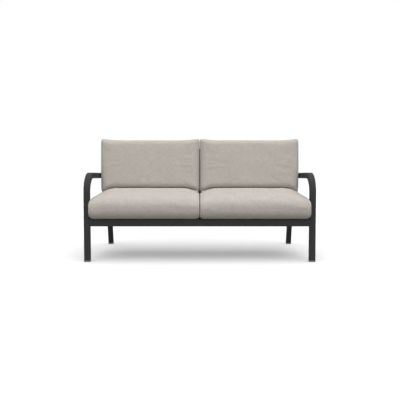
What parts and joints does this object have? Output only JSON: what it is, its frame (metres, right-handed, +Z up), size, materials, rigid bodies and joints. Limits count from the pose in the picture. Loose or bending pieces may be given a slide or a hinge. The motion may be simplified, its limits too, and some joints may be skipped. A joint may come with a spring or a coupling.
{
  "type": "patio loveseat",
  "caption": "Outdoor loveseat with bent square-tube arms that run into the legs, a slatted steel frame, and loose seat and back cushions that lift off.",
  "frame": {"origin": "on the floor, at the middle of the loveseat's width and depth", "axes": "+X to the right as seen from the front, +Y from the front towards the back, +Z up"},
  "size_m": [1.486, 0.9186, 0.8175],
  "materials": {
    "frame_paint": "matte",
    "cap_plastic": "matte",
    "glide_plastic": "matte",
    "fastener_steel": "satin",
    "cushion_fabric": "matte",
    "foam": "matte",
    "zip_tape": "matte",
    "zip_slider": "satin"
  },
  "bodies": {
    "frame": {"left_side_hoop": "frame_paint", "left_side_rail": "frame_paint", "left_back_post": "frame_paint", "left_back_bottom_rail": "frame_paint", "left_post_cap": "cap_plastic", "front_left_glide": "glide_plastic", "rear_left_glide": "glide_plastic", "right_side_hoop": "frame_paint", "right_side_rail": "frame_paint", "right_back_post": "frame_paint", "right_back_bottom_rail": "frame_paint", "right_post_cap": "cap_plastic", "front_right_glide": "glide_plastic", "rear_right_glide": "glide_plastic", "front_seat_rail": "frame_paint", "rear_seat_rail": "frame_paint", "centre_seat_stretcher": "frame_paint", "seat_slats": "frame_paint", "back_centre_post": "frame_paint", "back_top_rail": "frame_paint", "back_slats": "frame_paint", "corner_brackets": "frame_paint", "corner_bolts": "fastener_steel", "corner_washers": "fastener_steel", "corner_weld_nuts": "fastener_steel", "arm_bolts": "fastener_steel", "arm_washers": "fastener_steel", "arm_weld_nuts": "fastener_steel"},
    "left_seat_cushion": {"left_seat_cover": "cushion_fabric", "left_seat_core": "foam", "left_seat_zip": "zip_tape"},
    "left_seat_slider": {"left_seat_zip_slider": "zip_slider"},
    "left_back_cushion": {"left_back_cover": "cushion_fabric", "left_back_core": "foam", "left_back_zip": "zip_tape"},
    "left_back_slider": {"left_back_zip_slider": "zip_slider"},
    "right_seat_cushion": {"right_seat_cover": "cushion_fabric", "right_seat_core": "foam", "right_seat_zip": "zip_tape"},
    "right_seat_slider": {"right_seat_zip_slider": "zip_slider"},
    "right_back_cushion": {"right_back_cover": "cushion_fabric", "right_back_core": "foam", "right_back_zip": "zip_tape"},
    "right_back_slider": {"right_back_zip_slider": "zip_slider"}
  },
  "joints": [
    {"name": "left_seat_cushion_lift", "type": "slide", "parent": "frame", "child": "left_seat_cushion", "axis": [0, 0, 1], "range_m": [0, 0.34]},
    {"name": "left_back_cushion_lift", "type": "slide", "parent": "left_seat_cushion", "child": "left_back_cushion", "axis": [0, 0.1736, 0.9848], "range_m": [0, 0.4]},
    {"name": "left_seat_zip_slide", "type": "slide", "parent": "left_seat_cushion", "child": "left_seat_slider", "axis": [-1, 0, 0], "range_m": [0, 0.45]},
    {"name": "left_back_zip_slide", "type": "slide", "parent": "left_back_cushion", "child": "left_back_slider", "axis": [-1, 0, 0], "range_m": [0, 0.45]},
    {"name": "right_seat_cushion_lift", "type": "slide", "parent": "frame", "child": "right_seat_cushion", "axis": [0, 0, 1], "range_m": [0, 0.34]},
    {"name": "right_back_cushion_lift", "type": "slide", "parent": "right_seat_cushion", "child": "right_back_cushion", "axis": [0, 0.1736, 0.9848], "range_m": [0, 0.4]},
    {"name": "right_seat_zip_slide", "type": "slide", "parent": "right_seat_cushion", "child": "right_seat_slider", "axis": [1, 0, 0], "range_m": [0, 0.45]},
    {"name": "right_back_zip_slide", "type": "slide", "parent": "right_back_cushion", "child": "right_back_slider", "axis": [1, 0, 0], "range_m": [0, 0.45]}
  ]
}
